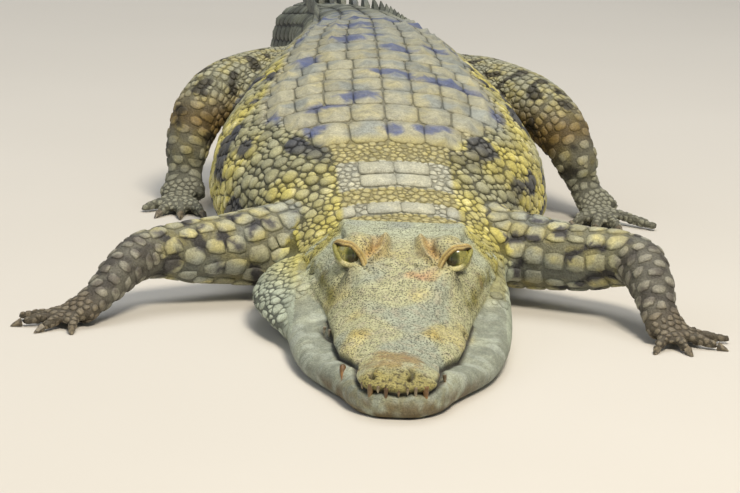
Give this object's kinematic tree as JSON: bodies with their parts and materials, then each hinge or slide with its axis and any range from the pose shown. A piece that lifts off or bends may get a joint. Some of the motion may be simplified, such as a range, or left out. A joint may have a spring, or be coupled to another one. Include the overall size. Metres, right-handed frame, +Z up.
{
  "type": "crocodile figure",
  "caption": "Life-size still model of a crocodile at rest, flat on its belly with its legs bent and spread and its long crested tail trailing behind it.",
  "frame": {"origin": "on the ground under the middle of the trunk, on the flat of the belly", "axes": "+Z up, the head points along -Y and the tail trails along +Y, +X is the animal's own left"},
  "size_m": [0.6363, 2.4855, 0.1823],
  "materials": {
    "back_hide": "dry horny scales, grey-beige to yellow with blue-black blotches",
    "pale_hide": "pale smooth scales of the jaw and throat",
    "limb_hide": "olive to grey-brown scales in rows",
    "claw_and_tooth": "horn of the claws and stained enamel of the teeth",
    "eyeball": "wet, olive green with a dark upright slit"
  },
  "bodies": {
    "root": {"head": "back_hide", "neck": "back_hide", "trunk_front": "back_hide", "trunk_rear": "back_hide", "tail_1": "back_hide", "tail_2": "back_hide", "tail_3": "back_hide", "tail_4": "back_hide", "tail_5": "back_hide", "lower_jaw": "pale_hide", "throat_fold": "pale_hide", "upper_arm_left": "limb_hide", "forearm_left": "limb_hide", "hand_left": "limb_hide", "thigh_left": "limb_hide", "shank_left": "limb_hide", "foot_left": "limb_hide", "eye_left": "eyeball", "hand_claw_left_1": "claw_and_tooth", "hand_claw_left_2": "claw_and_tooth", "hand_claw_left_3": "claw_and_tooth", "foot_claw_left_1": "claw_and_tooth", "foot_claw_left_2": "claw_and_tooth", "foot_claw_left_3": "claw_and_tooth", "upper_arm_right": "limb_hide", "forearm_right": "limb_hide", "hand_right": "limb_hide", "thigh_right": "limb_hide", "shank_right": "limb_hide", "foot_right": "limb_hide", "eye_right": "eyeball", "hand_claw_right_1": "claw_and_tooth", "hand_claw_right_2": "claw_and_tooth", "hand_claw_right_3": "claw_and_tooth", "foot_claw_right_1": "claw_and_tooth", "foot_claw_right_2": "claw_and_tooth", "foot_claw_right_3": "claw_and_tooth"}
  },
  "joints": []
}
